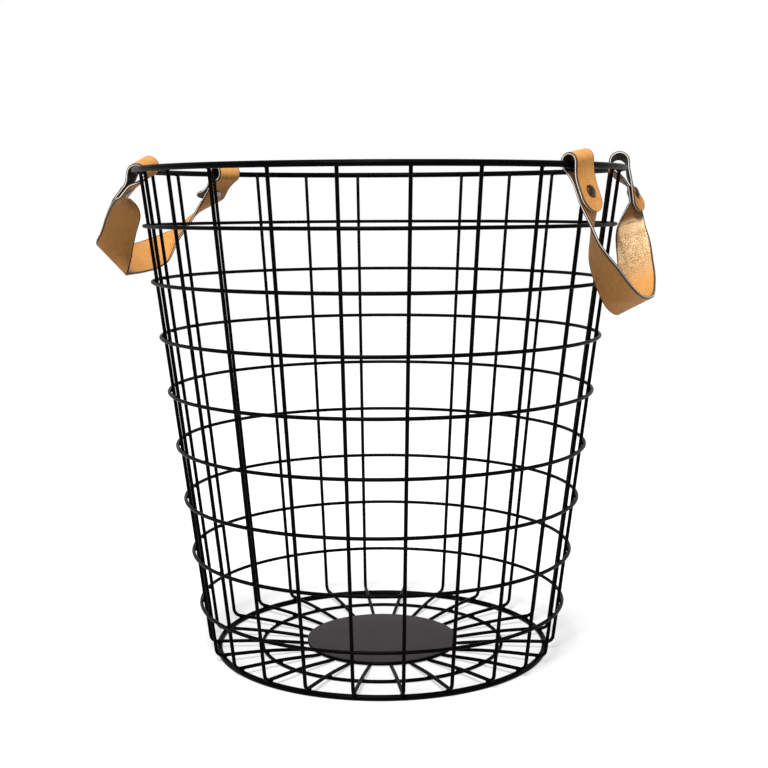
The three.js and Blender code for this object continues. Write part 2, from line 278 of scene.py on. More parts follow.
# Stage, in metres: a floor that glows more away from the basket, and one lamp placed as the camera sees it
AMBIENT = 0.1
FLOOR_SIZE = 60
FLOOR_ROUGH = 0.9
NEAR_GLOW, FAR_GLOW = 0.6, 0.96
GLOW_START, GLOW_END = 0.14, 0.3
LAMP_PLACE = (-0.35, -1.7, 2.3)
LAMP_TARGET = (0, 0, 0.25)
LAMP_SIZE = 1.0
LAMP_POWER = 106

spoke_height = 2 * HEAVY + WELD_GAP + LIGHT
disc_top = DISC_BOTTOM + DISC_THICKNESS
light_ring_height = DISC_BOTTOM - WELD_GAP - LIGHT / math.cos(math.pi / SOLID_WIRE_SIDES)
inner_ring_radius = DISC_RADIUS - LIGHT
base_ring_radius = FOOT_RADIUS - BASE_RING_INSET
top_radius = RIM_RADIUS - HEAVY - LIGHT - WELD_GAP
wall_slope = (top_radius - FOOT_RADIUS) / (RIM_HEIGHT - spoke_height)
taper = math.atan(wall_slope)
half_span = RIM_RADIUS * math.sin(LOOP_ANGLE)
hinge_radius = RIM_RADIUS * math.cos(LOOP_ANGLE)
layer_offset = (LEATHER + LAYER_GAP) / 2
rivet_seat = LAYER_GAP / 2 + LEATHER
clamp_top = RIVET_DROP - CLAMP_REACH
clamp_end = RIVET_DROP + CLAMP_REACH
top_hoop_height = RIM_HEIGHT - TOP_HOOP_DROP
hoop_pitch = (top_hoop_height - LOW_HOOP_HEIGHT) / (HOOP_COUNT - 1)
node_body = {n: b for b, members in frame["record"]["behaviour"]["bodies"].items() for n in members}


def wall_radius(height):
    return FOOT_RADIUS + wall_slope * (height - spoke_height)


def hoop_height(index):
    return top_hoop_height - index * hoop_pitch


def ease(value, low, high):
    """0 up to low, 1 from high on, and smooth between them."""
    share = min(1, max(0, (value - low) / (high - low)))
    return share * share * (3 - 2 * share)


# Materials


def node(tree, kind, settings=None, **inputs):
    """A shader node with its settings, and values or links on its inputs. In names, _ is a space."""
    made = tree.nodes.new("ShaderNode" + kind)
    for key, value in (settings or {}).items():
        setattr(made, key, value)
    for key, value in inputs.items():
        put(tree, made.inputs[key.replace("_", " ")], value)
    return made


def put(tree, socket, value):
    if isinstance(value, bpy.types.NodeSocket):
        tree.links.new(value, socket)
    else:
        socket.default_value = value


def mix(tree, factor, first, second):
    made = node(tree, "Mix", {"data_type": "RGBA"})
    put(tree, made.inputs[0], factor)
    put(tree, made.inputs[6], first)
    put(tree, made.inputs[7], second)
    return made.outputs[2]


def calc(tree, operation, *values):
    made = node(tree, "Math", {"operation": operation})
    for socket, value in zip(made.inputs, values):
        put(tree, socket, value)
    return made.outputs[0]


def spread(tree, value, low, high, start=0.0, end=1.0, smooth=True):
    """Maps low..high to start..end, held at both ends."""
    kind = "SMOOTHSTEP" if smooth else "LINEAR"
    made = node(tree, "MapRange", {"interpolation_type": kind}, Value=value)
    for name, number in (("From Min", low), ("From Max", high), ("To Min", start), ("To Max", end)):
        made.inputs[name].default_value = number
    return made.outputs[0]


def noise(tree, place, scale, detail=2.0, rough=0.5):
    return node(tree, "TexNoise", Vector=place, Scale=scale, Detail=detail, Roughness=rough).outputs[0]


def material(name):
    """A new material with its node tree and its main shader."""
    made = bpy.data.materials.new(name)
    made.use_nodes = True
    return made, made.node_tree, made.node_tree.nodes["Principled BSDF"]


def object_place(tree):
    return node(tree, "TexCoord").outputs["Object"]


def bump(tree, shader, height, relief):
    made = node(tree, "Bump", Height=height, Distance=relief * MM, Strength=1.0)
    tree.links.new(made.outputs[0], shader.inputs["Normal"])


def coat_material(name, dark, pale, shine, rough, relief):
    """Powder coat: fine orange peel, slightly uneven gloss."""
    made, tree, shader = material(name)
    place = object_place(tree)
    broad = noise(tree, place, COAT_CLOUDS, 3)
    fine = noise(tree, place, COAT_GRAIN, 2)
    put(tree, shader.inputs["Base Color"], mix(tree, spread(tree, broad, *MIDDLE), dark, pale))
    put(tree, shader.inputs["Roughness"], spread(tree, broad, *MIDDLE, *rough))
    shader.inputs["Specular IOR Level"].default_value = shine
    bump(tree, shader, fine, relief)
    return made


def metal_material(name, dark, pale, rough):
    """Bare metal with patches of tarnish."""
    made, tree, shader = material(name)
    place = object_place(tree)
    patches = noise(tree, place, METAL_PATCHES, 4, 0.6)
    put(tree, shader.inputs["Base Color"], mix(tree, spread(tree, patches, *METAL_MIDDLE), dark, pale))
    put(tree, shader.inputs["Roughness"], spread(tree, patches, *MIDDLE, *rough))
    shader.inputs["Metallic"].default_value = 1.0
    bump(tree, shader, noise(tree, place, METAL_GRAIN, 2), METAL_RELIEF)
    return made


def strap_place(tree):
    """Place on a strap in metres: along it, across it and through it."""
    return node(tree, "Attribute", {"attribute_name": STRAP_PLACE}).outputs["Vector"]


def strap_fact(tree, name):
    return node(tree, "Attribute", {"attribute_name": name}).outputs["Fac"]


def creases(tree, place, reach):
    """Compression folds across a strap, a little below its clamp: 1 in the folds, 0 elsewhere."""
    waves = noise(tree, place, CREASE_WAVES, 1)
    bend = calc(tree, "MULTIPLY_ADD", waves, CREASE_WANDER, -CREASE_WANDER / 2)
    bent = calc(tree, "ADD", reach, bend)
    folds = 0.0
    for fold in CREASE_REACH:
        apart = calc(tree, "ABSOLUTE", calc(tree, "SUBTRACT", bent, fold))
        folds = calc(tree, "MAXIMUM", folds, spread(tree, apart, 0, CREASE_WIDTH, 1, 0))
    breaks = spread(tree, noise(tree, place, CREASE_BREAKS, 1), *CREASE_BREAK_SPREAD)
    return calc(tree, "MULTIPLY", folds, breaks)


def wrinkles(tree, place):
    """Fine lines between small wavy cells: 1 on the lines, 0 elsewhere."""
    waves = node(tree, "TexNoise", Vector=place, Scale=WRINKLE_WAVES, Detail=2).outputs["Color"]
    warped = node(tree, "VectorMath", {"operation": "MULTIPLY_ADD"})
    put(tree, warped.inputs[0], waves)
    put(tree, warped.inputs[1], (WRINKLE_WARP, WRINKLE_WARP, WRINKLE_WARP))
    put(tree, warped.inputs[2], place)
    feature = {"feature": "DISTANCE_TO_EDGE"}
    cells = node(tree, "TexVoronoi", feature, Vector=warped.outputs[0], Scale=WRINKLES)
    return spread(tree, cells.outputs["Distance"], 0, WRINKLE_WIDTH, 1, 0)


def leather_material():
    """Vegetable tanned leather: pebbled grain, cloudy tan, darker towards the worked edges. Below a
    creased clamp it has a painted shadow under the tab, painted shade in its folds, crumpled grain and
    then a painted sheen that makes it paler; inside the end loops it has painted shade."""
    made, tree, shader = material("tan_leather")
    place = strap_place(tree)
    edge, reach, hidden = (strap_fact(tree, name) for name in STRAP_FACTS)
    folds = creases(tree, place, reach)
    cloud = noise(tree, place, CLOUDS, 4, 0.55)
    mottle = noise(tree, place, MOTTLE, 3, 0.6)
    pores = noise(tree, place, PORES, 2, 0.6)
    cells = node(tree, "TexVoronoi", {"feature": "SMOOTH_F1"}, Vector=place, Scale=PEBBLES)
    pebble = cells.outputs["Distance"]
    crumpled = wrinkles(tree, place)
    for limit in (
        spread(tree, reach, *CRUMPLE_START),
        spread(tree, reach, *CRUMPLE_END),
        spread(tree, mottle, *CRUMPLE_SPREAD),
    ):
        crumpled = calc(tree, "MULTIPLY", crumpled, limit)

    colour = mix(tree, spread(tree, cloud, *MIDDLE), *TAN)
    tints = (
        (spread(tree, mottle, *FLECK_SPREAD), FLECK_PALE),
        (spread(tree, pebble, *PIT_SPREAD), PIT_DARK),
        # painted sheen, paler within about 80 mm below a creased clamp
        (spread(tree, reach, *SHEEN_PAINT_SPREAD), SHEEN_PAINT_PALE),
        (calc(tree, "MULTIPLY", crumpled, WRINKLE_SHARE), WRINKLE_DARK),
        # painted shadow under the tab
        (spread(tree, reach, *SHADE_SPREAD), SHADE_DARK),
        # painted shade in the folds
        (calc(tree, "MULTIPLY", folds, CREASE_SHADE_SHARE), CREASE_SHADE_PAINT),
        (spread(tree, edge, *MARGIN_SPREAD), MARGIN_DARK),
        # painted shade inside the end loops
        (calc(tree, "MULTIPLY", hidden, LOOP_SHADE_SHARE), LOOP_SHADE_PAINT),
    )
    for share, tint in tints:
        colour = mix(tree, share, colour, tint)
    put(tree, shader.inputs["Base Color"], colour)
    put(tree, shader.inputs["Roughness"], spread(tree, mottle, *MIDDLE, *LEATHER_ROUGH))
    shader.inputs["Specular IOR Level"].default_value = LEATHER_SHINE

    height = calc(tree, "MULTIPLY", pores, PORE_RISE)
    for form, sink in ((pebble, PEBBLE_SINK), (folds, CREASE_SINK), (crumpled, WRINKLE_SINK)):
        height = calc(tree, "MULTIPLY_ADD", form, -sink, height)
    bump(tree, shader, height, LEATHER_RELIEF)
    return made


def edge_material():
    """Cut edge of the strap: dark edge paint on both sides of a paler core."""
    made, tree, shader = material("strap_edge")
    place = strap_place(tree)
    through = node(tree, "SeparateXYZ", Vector=place).outputs["Z"]
    wander = calc(tree, "MULTIPLY_ADD", noise(tree, place, EDGE_WAVES, 2), CORE_WANDER, -CORE_WANDER / 2)
    core = calc(tree, "ABSOLUTE", calc(tree, "ADD", through, wander))
    fibre = noise(tree, place, EDGE_FIBRE, 3, 0.6)
    paint = mix(tree, spread(tree, fibre, *MIDDLE), *EDGE_PAINT)
    flesh = mix(tree, spread(tree, fibre, *MIDDLE), *EDGE_FLESH)
    put(tree, shader.inputs["Base Color"], mix(tree, spread(tree, core, *CORE_SPREAD), flesh, paint))
    put(tree, shader.inputs["Roughness"], spread(tree, fibre, *MIDDLE, *EDGE_ROUGH))
    shader.inputs["Specular IOR Level"].default_value = EDGE_SHINE
    bump(tree, shader, fibre, EDGE_RELIEF)
    return made


BLACK_COAT = coat_material(
    "black_powder_coat",
    dark=(0.0005, 0.0005, 0.0006, 1),
    pale=(0.0012, 0.0011, 0.0012, 1),
    shine=0.02,
    rough=(0.3, 0.42),
    relief=0.015,
)
GREY_COAT = coat_material(
    "grey_sheet_coat",
    dark=(0.037, 0.031, 0.033, 1),
    pale=(0.047, 0.040, 0.042, 1),
    shine=0.05,
    rough=(0.5, 0.62),
    relief=0.02,
)
LEATHER_FACE = leather_material()
LEATHER_EDGE = edge_material()
BRONZE = metal_material(
    "antique_bronze",
    dark=(0.016, 0.010, 0.007, 1),
    pale=(0.085, 0.047, 0.025, 1),
    rough=(0.26, 0.48),
)
GREY_METAL = metal_material(
    "nickel_grey",
    dark=(0.17, 0.17, 0.18, 1),
    pale=(0.33, 0.33, 0.35, 1),
    rough=(0.3, 0.5),
)


# Mesh making


def grid_faces(rows, columns, wrap_rows, cap):
    """Quads over a grid of points that is closed across, and closed or capped along."""
    faces = []
    for r in range(rows if wrap_rows else rows - 1):
        for c in range(columns):
            d = (c + 1) % columns
            n = (r + 1) % rows
            faces.append((r * columns + c, r * columns + d, n * columns + d, n * columns + c))
    if cap:
        faces.append(tuple(range(columns))[::-1])
        faces.append(tuple((rows - 1) * columns + c for c in range(columns)))
    return faces


def mesh_object(name, points, faces, finish):
    """A smooth shaded object with its faces turned outward. Points are in millimetres."""
    mesh = bpy.data.meshes.new(name)
    mesh.from_pydata((np.asarray(points, float) * MM).tolist(), [], faces)
    bm = bmesh.new()
    bm.from_mesh(mesh)
    if bm.calc_volume(signed=True) < 0:
        bmesh.ops.reverse_faces(bm, faces=bm.faces)
    bm.to_mesh(mesh)
    bm.free()
    mesh.shade_smooth()
    for each in finish:
        mesh.materials.append(each)
    made = bpy.data.objects.new(name, mesh)
    bpy.context.scene.collection.objects.link(made)
    return made


def sharpen(made, degrees):
    made.data.set_sharp_from_angle(angle=math.radians(degrees))


def finish_piece(made, body, slot, *nodes):
    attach(made, body)
    if nodes:
        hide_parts(*nodes)


def circle(count, radius):
    turns = np.arange(count) * 2 * np.pi / count
    return radius * np.cos(turns), radius * np.sin(turns)


def ring_points(radius, height, wire, sides):
    out, up = circle(sides, wire)
    turns = np.arange(RING_STEPS) * 2 * np.pi / RING_STEPS
    points = np.zeros((RING_STEPS, sides, 3))
    points[..., 0] = np.cos(turns)[:, None] * (radius + out)
    points[..., 1] = np.sin(turns)[:, None] * (radius + out)
    points[..., 2] = height - disc_top + up
    return points.reshape(-1, 3)


def add_ring(node_name, radius, height, wire, sides):
    faces = grid_faces(RING_STEPS, sides, True, False)
    made = mesh_object(node_name + "_wire", ring_points(radius, height, wire, sides), faces, [BLACK_COAT])
    finish_piece(made, "basket", "black_coat", node_name)


def upright_line():
    """Down an upright's middle and in along its spoke: distance from the axis, height and lean."""
    turn = math.pi / 2 - taper
    centre_x = FOOT_RADIUS - FOOT_BEND * math.tan(turn / 2)
    centre_z = spoke_height + FOOT_BEND
    bend = [taper + turn * i / BEND_STEPS for i in range(BEND_STEPS + 1)]
    corner = [(centre_x + FOOT_BEND * math.cos(b), centre_z - FOOT_BEND * math.sin(b), b) for b in bend]
    line = []
    for i in range(WALL_STEPS):
        share = i / WALL_STEPS
        x = top_radius + (corner[0][0] - top_radius) * share
        z = RIM_HEIGHT + (corner[0][1] - RIM_HEIGHT) * share
        line.append((x, z, taper))
    line += corner
    inner_end = inner_ring_radius + LIGHT + WELD_GAP
    spoke = np.array([
        (base_ring_radius, spoke_height),
        (MID_RING_RADIUS, DISC_BOTTOM + LIGHT),
        (inner_end, light_ring_height),
    ])
    for share in np.linspace(0, 1, SPOKE_STEPS + 1):
        x, z = curve_point(spoke, share)
        before = curve_point(spoke, max(0, share - SPOKE_PROBE))
        after = curve_point(spoke, min(1, share + SPOKE_PROBE))
        run = after - before
        line.append((x, z, math.atan2(-run[0], -run[1])))
    return line


def upright_points():
    """One upright in the plane of X and Z, with rounded wire ends."""
    line = upright_line()
    across, side = circle(LIGHT_SIDES, LIGHT)
    rows = []
    for i, (x, z, lean) in enumerate(line):
        size = WIRE_END_SIZE if i in (0, len(line) - 1) else 1
        row = np.zeros((LIGHT_SIDES, 3))
        row[:, 0] = x + size * across * math.cos(lean)
        row[:, 1] = size * side
        row[:, 2] = z - size * across * math.sin(lean) - disc_top
        rows.append(row)
    start = rows[0].copy()
    start[:, 0] -= WIRE_END_LENGTH * math.sin(taper)
    start[:, 2] -= WIRE_END_LENGTH * math.cos(taper)
    rows.insert(1, (start - start.mean(0)) / WIRE_END_SIZE + start.mean(0))
    return np.array(rows)


def turned(points, angle):
    c, s = math.cos(angle), math.sin(angle)
    return np.asarray(points) @ np.array([[c, s, 0], [-s, c, 0], [0, 0, 1]])


def blob(radii):
    """Points and faces of a small ellipsoid, made closed with two end points."""
    points = [(0, 0, radii[2])]
    for r in range(1, WELD_RINGS):
        polar = math.pi * r / WELD_RINGS
        for s in range(WELD_SIDES):
            turn = 2 * math.pi * s / WELD_SIDES
            points.append((
                radii[0] * math.sin(polar) * math.cos(turn),
                radii[1] * math.sin(polar) * math.sin(turn),
                radii[2] * math.cos(polar),
            ))
    points.append((0, 0, -radii[2]))
    last = len(points) - 1
    faces = []
    for s in range(WELD_SIDES):
        n = (s + 1) % WELD_SIDES
        faces.append((0, 1 + s, 1 + n))
        faces.append((last, last - WELD_SIDES + n, last - WELD_SIDES + s))
    for r in range(WELD_RINGS - 2):
        for s in range(WELD_SIDES):
            a, b = 1 + r * WELD_SIDES + s, 1 + r * WELD_SIDES + (s + 1) % WELD_SIDES
            faces.append((a, a + WELD_SIDES, b + WELD_SIDES, b))
    return np.array(points), faces


def add_welds(name, places):
    """One piece of many small welds. A place is radius, height and the three radii of the weld."""
    points, faces = [], []
    count = 0
    for radius, height, radii in places:
        shape, own = blob(radii)
        for i in range(UPRIGHT_COUNT):
            moved = shape + (radius, 0, height - disc_top)
            points.append(turned(moved, 2 * math.pi * i / UPRIGHT_COUNT))
            faces += [tuple(v + count for v in face) for face in own]
            count += len(shape)
    made = mesh_object(name, np.concatenate(points), faces, [BLACK_COAT])
    finish_piece(made, "basket", "black_coat")


def lathe(profile, steps=LATHE_STEPS):
    """Points and faces of a solid turned about Z. The profile starts and ends on the axis."""
    inner = profile[1:-1]
    points = [(0, 0, profile[0][1])]
    for radius, z in inner:
        for s in range(steps):
            turn = 2 * math.pi * s / steps
            points.append((radius * math.cos(turn), radius * math.sin(turn), z))
    points.append((0, 0, profile[-1][1]))
    last = len(points) - 1
    faces = []
    for s in range(steps):
        n = (s + 1) % steps
        faces.append((0, 1 + n, 1 + s))
        faces.append((last, last - steps + s, last - steps + n))
    for r in range(len(inner) - 1):
        for s in range(steps):
            a, b = 1 + r * steps + s, 1 + r * steps + (s + 1) % steps
            faces.append((a, b, b + steps, a + steps))
    return np.array(points), faces


# Wire body


def build_wires():
    add_ring("rim_ring", RIM_RADIUS, RIM_HEIGHT, HEAVY, HEAVY_SIDES)
    add_ring("base_ring", base_ring_radius, HEAVY, HEAVY, HEAVY_SIDES)
    add_ring("base_mid_ring", MID_RING_RADIUS, light_ring_height, LIGHT, LIGHT_SIDES)
    add_ring("base_inner_ring", inner_ring_radius, DISC_BOTTOM - LIGHT, LIGHT, LIGHT_SIDES)
    for i in range(HOOP_COUNT):
        height = hoop_height(i)
        add_ring(f"hoop_{i + 1}", wall_radius(height) + 2 * LIGHT + WELD_GAP, height, LIGHT, LIGHT_SIDES)

    rows = upright_points()
    faces = grid_faces(len(rows), LIGHT_SIDES, False, True)
    for i in range(UPRIGHT_COUNT):
        name = f"upright_{i + 1:02d}"
        points = turned(rows.reshape(-1, 3), 2 * math.pi * i / UPRIGHT_COUNT)
        made = mesh_object(name + "_wire", points, faces, [BLACK_COAT])
        sharpen(made, SHARP_PIECE)
        finish_piece(made, "basket", "black_coat", name)

    wall = []
    for i in range(HOOP_COUNT):
        wall.append((wall_radius(hoop_height(i)) + LIGHT + WELD_GAP / 2, hoop_height(i), WALL_WELD))
    add_welds("welds_wall", wall)
    add_welds("welds_rim", [(top_radius + LIGHT + RIM_WELD_OUT, RIM_HEIGHT - RIM_WELD_DROP, RIM_WELD)])
    add_welds("welds_base", [
        (base_ring_radius, 2 * HEAVY + WELD_GAP / 2, BASE_WELD),
        (MID_RING_RADIUS, light_ring_height + LIGHT + WELD_GAP / 2, MID_WELD),
        (inner_ring_radius + LIGHT + WELD_GAP / 2, light_ring_height, INNER_WELD),
    ])


def build_disc():
    """Flat sheet disc with a slightly rolled edge."""
    bottom, top = -DISC_THICKNESS, 0
    flat = DISC_RADIUS - DISC_EDGE
    profile = [(0, bottom), (flat, bottom)]
    for i in range(1, DISC_EDGE_STEPS):
        turn = -math.pi / 2 + math.pi * i / DISC_EDGE_STEPS
        height = (bottom + top) / 2 + (DISC_THICKNESS / 2) * math.sin(turn)
        profile.append((flat + DISC_EDGE * math.cos(turn), height))
    profile += [(flat, top), (DISC_RADIUS / 2, top), (0, top)]
    points, faces = lathe(profile, RING_STEPS)
    made = mesh_object("base_disc_sheet", points, faces, [GREY_COAT])
    finish_piece(made, "basket", "grey_coat", "base_disc")


# Strap handles, in the handle's own frame: X out from the hinge line, Y along it, Z up


Station = namedtuple("Station", "point width half reach hidden")


class Loop:
    """An end loop, end -1 or +1: its tab runs along down, and its axis lies along the rim."""

    def __init__(self, end, lean, shape):
        turn = end * LOOP_ANGLE
        outward = np.array([math.cos(turn), math.sin(turn), 0])
        up = np.array([0, 0, 1.0])
        self.shape = shape
        self.tuck = end * math.radians(shape.tuck)
        self.centre = np.array([0, end * half_span, 0])
        self.down = outward * math.sin(lean) - up * math.cos(lean)
        self.flat_face = outward * math.cos(lean) + up * math.sin(lean)
        self.flat_width = end * np.array([-math.sin(turn), math.cos(turn), 0])
        self.face = self.tucked(self.flat_face, RIVET_DROP)

    def tucked(self, direction, along):
        angle = self.tuck * ease(along, TUCK_TOP, TAB_LENGTH)
        return direction * math.cos(angle) + np.cross(self.down, direction) * math.sin(angle)

    def width(self, along):
        slope = math.radians(self.shape.slope) * (1 - ease(along, 0, clamp_top))
        return self.tucked(self.flat_width, along) * math.cos(slope) + self.down * math.sin(slope)

    def at(self, along, away):
        shift = self.shape.shift * (1 - ease(along, 0, clamp_top))
        return self.centre + self.down * along + self.tucked(self.flat_face, along) * (away - shift)


def loop_stations(loop):
    """From the round tip of a tab, over the rim and back to the clamp below the rivet."""
    shape = loop.shape
    rho = shape.bore + LEATHER / 2
    half = TAB_WIDTH / 2
    tab = []
    for i in range(TIP_STEPS):
        turn = (i + TIP_LEAD) / TIP_STEPS * math.pi / 2
        tab.append((TAB_LENGTH - half + half * math.cos(turn), half * math.sin(turn)))
    tab += [(TAB_LENGTH - half - step, half) for step in TAB_STEPS]
    path = []
    for along, size in tab:
        path.append((along, layer_offset + shape.flare * ease(along, clamp_top, TAB_LENGTH), size))
    turn_start = (rho * math.cos(LOOP_WRAP) - shape.rise, rho * math.sin(LOOP_WRAP))
    control = turn_start[0] + (turn_start[1] - layer_offset) * math.tan(LOOP_WRAP)
    side = []
    for i in range(EASE_STEPS + 1):
        t = i / EASE_STEPS
        a, b, c = (1 - t) ** 2, 2 * t * (1 - t), t * t
        along = a * clamp_top + b * control + c * turn_start[0]
        side.append((along, (a + b) * layer_offset + c * turn_start[1], half))
    path += side
    for i in range(1, LOOP_STEPS):
        turn = LOOP_WRAP + 2 * (math.pi - LOOP_WRAP) * i / LOOP_STEPS
        path.append((rho * math.cos(turn) - shape.rise, rho * math.sin(turn), half))
    path += [(along, -away, size) for along, away, size in reversed(side)]
    stations = []
    under_tab = len(path) - len(side)
    for i, (along, away, size) in enumerate(path):
        # Reach 0 under a creased tab gives it the painted shadow
        reach = 0 if shape.creased and i >= under_tab else FAR_REACH
        # The last 1 marks every loop point for the painted shade on its inside faces
        stations.append(Station(loop.at(along, away), loop.width(along), size, reach, 1))
    return stations


def curve_point(points, share):
    """A point of the centripetal curve through points."""
    last = len(points) - 1
    place = share * last
    i = min(int(place), last - 1)
    w = place - i
    p1, p2 = points[i], points[i + 1]
    p0 = points[i - 1] if i > 0 else 2 * p1 - p2
    p3 = points[i + 2] if i + 2 <= last else 2 * p2 - p1
    d0, d1, d2 = (math.sqrt(np.linalg.norm(b - a)) for a, b in ((p0, p1), (p1, p2), (p2, p3)))
    d1 = d1 if d1 > SAME_POINT else 1
    d0 = d0 if d0 > SAME_POINT else d1
    d2 = d2 if d2 > SAME_POINT else d1
    t1 = d1 * ((p1 - p0) / d0 - (p2 - p0) / (d0 + d1) + (p2 - p1) / d1)
    t2 = d1 * ((p2 - p1) / d1 - (p3 - p1) / (d1 + d2) + (p3 - p2) / d2)
    bend = -3 * p1 + 3 * p2 - 2 * t1 - t2
    return p1 + t1 * w + bend * w * w + (2 * p1 - 2 * p2 + t1 + t2) * w ** 3


def lengths_along(points):
    """Distance of each point from the first, along the line through them."""
    return np.concatenate([[0], np.cumsum(np.linalg.norm(np.diff(points, axis=0), axis=1))])


def leg_stations(loops, route):
    """Along the hanging strap, from one clamp to the other."""
    ends = [loop.at(clamp_end, -layer_offset) for loop in loops]
    middle = [np.array([out, along * half_span, -down], float) for out, along, down, _ in route]
    edges = [np.array(edge, float) / np.linalg.norm(edge) for *_, edge in route]
    middle = [ends[0], *middle, ends[1]]
    edges = [loops[0].width(clamp_end), *edges, loops[1].width(clamp_end)]
    steps = LEG_STEPS * (len(middle) - 1)
    points = np.array([curve_point(middle, i / steps) for i in range(steps + 1)])
    reach = lengths_along(points)
    stations = []
    for i, point in enumerate(points):
        away = (reach[i], reach[-1] - reach[i])
        share = min(ease(d, 0, loop.shape.shoulder) for d, loop in zip(away, loops))
        creased = min(d if loop.shape.creased else FAR_REACH for d, loop in zip(away, loops))
        half = (TAB_WIDTH + (STRAP_WIDTH - TAB_WIDTH) * share) / 2
        stations.append(Station(point, curve_point(edges, i / steps), half, creased, 0))
    return stations


def section(half):
    """Round the strap: place across, place through, distance from the edge."""
    depth = min(EDGE_DEPTH, EDGE_SHARE * half)
    flat = half - depth
    near = [flat * (1 - (offset - EDGE_DEPTH) / (STRAP_WIDTH / 2)) for offset in EDGE_OFFSETS]
    inside = np.linspace(near[-1], -near[-1], MIDDLE_POINTS + 2)[1:-1]
    face = [flat, *near, *inside, *[-n for n in reversed(near)], -flat]
    arc = [math.pi / 2 - math.pi * i / EDGE_STEPS for i in range(1, EDGE_STEPS)]
    edge = [(flat + depth * math.cos(a), LEATHER / 2 * math.sin(a)) for a in arc]
    row = [(a, -LEATHER / 2) for a in reversed(face)]
    row += [(a, -t) for a, t in edge]
    row += [(a, LEATHER / 2) for a in face]
    row += [(-a, t) for a, t in edge]
    return [(a, t, half - abs(a)) for a, t in row]


def edge_columns():
    """Which of the section's columns of faces belong to the cut edges."""
    face = 2 * len(EDGE_OFFSETS) + MIDDLE_POINTS + 2
    turn = EDGE_STEPS - 1
    first = set(range(face, face + turn - 1))
    return first | {c + face + turn for c in first}


def strap_rows(stations):
    """Points of every section, with each point's place on the strap and its facts for the finish."""
    points = np.array([s.point for s in stations])
    run = np.gradient(points, axis=0)
    run /= np.linalg.norm(run, axis=1)[:, None]
    along = lengths_along(points)
    rows, places, facts = [], [], []
    for i, station in enumerate(stations):
        across = station.width / np.linalg.norm(station.width)
        thick = np.cross(run[i], across)
        slant = np.linalg.norm(thick)
        outline = section(station.half)
        rows.append([station.point + (across * a + thick * t) / slant for a, t, _ in outline])
        places.append([(along[i], a, t) for a, t, _ in outline])
        facts.append([(e, station.reach, station.hidden if t < 0 else 0) for _, t, e in outline])
    return np.array(rows), np.array(places), np.array(facts)


def to_part(azimuth, points):
    """From a handle's frame to the part's."""
    moved = turned(np.asarray(points) + (hinge_radius, 0, 0), azimuth)
    return moved + (0, 0, RIM_HEIGHT - disc_top)


def add_half(name, rows, places, facts, azimuth):
    """Half a strap with one end loop, and its cut edges and end faces in the edge's finish."""
    count, columns = rows.shape[:2]
    faces = grid_faces(count, columns, False, True)
    points = to_part(azimuth, rows.reshape(-1, 3))
    made = mesh_object(name, points, faces, [LEATHER_FACE, LEATHER_EDGE])
    mesh = made.data
    place = mesh.attributes.new(STRAP_PLACE, "FLOAT_VECTOR", "POINT")
    place.data.foreach_set("vector", (places.reshape(-1) * MM).astype(np.float32))
    for i, fact in enumerate(STRAP_FACTS):
        layer = mesh.attributes.new(fact, "FLOAT", "POINT")
        layer.data.foreach_set("value", facts[..., i].reshape(-1).astype(np.float32))
    cut = edge_columns()
    for face in mesh.polygons:
        if len(face.vertices) == columns:
            face.material_index = 1
            continue
        pair = sorted(v % columns for v in face.vertices)
        low = pair[0] if pair[-1] - pair[0] == 1 else pair[-1]
        face.material_index = int(low in cut)
    sharpen(made, SHARP_PIECE)
    return made


def head_profile():
    """The rivet's post and domed head, from the post's end up."""
    radius, post = RIVET_HEAD / 2, RIVET_POST / 2
    base, rise = rivet_seat + HEAD_LIP, RIVET_DOME - DOME_SINK
    head = [(0, -rivet_seat), (post, -rivet_seat), (post, rivet_seat), (radius - HEAD_LIP, rivet_seat)]
    for i in range(DOME_STEPS):
        turn = math.pi / 2 * i / DOME_STEPS
        head.append((radius * math.cos(turn) ** DOME_OUT, base + rise * math.sin(turn) ** DOME_UP))
    return [*head, (0, base + rise)]


def cap_profile():
    """The rivet's back cap, from its seat down to the dish round the post's end."""
    radius, post = RIVET_CAP / 2, RIVET_POST / 2
    top = -rivet_seat - 2 * SEAT_GAP
    low = top - CAP_HEIGHT
    cap = [(0, top), (radius - CAP_CHAMFER, top), (radius, top - CAP_LIP)]
    for i in range(1, CAP_STEPS + 1):
        turn = math.pi / 2 * i / CAP_STEPS
        drop = CAP_LIP + (CAP_HEIGHT - CAP_LIP) * math.sin(turn)
        cap.append((radius - CAP_ROUND + CAP_ROUND * math.cos(turn), top - drop))
    return [*cap, (post + DISH_RIM, low), (post, low + DISH_WALL), (0, low + DISH_DEPTH)]


def add_rivet(side, label, loop, azimuth):
    body = node_body[f"rivet_{side}_{label}"]
    turn = Vector((0, 0, 1)).rotation_difference(Vector(loop.face)).to_matrix()
    pieces = (
        (f"rivet_{side}_{label}", head_profile(), BRONZE, "bronze"),
        (f"rivet_cap_{side}_{label}", cap_profile(), GREY_METAL, "grey_metal"),
    )
    for node_name, profile, finish, slot in pieces:
        points, faces = lathe(profile)
        points = points @ np.array(turn).T + loop.at(RIVET_DROP, 0)
        made = mesh_object(node_name + "_turned", to_part(azimuth, points), faces, [finish])
        sharpen(made, SHARP_RIVET)
        finish_piece(made, body, slot, node_name)


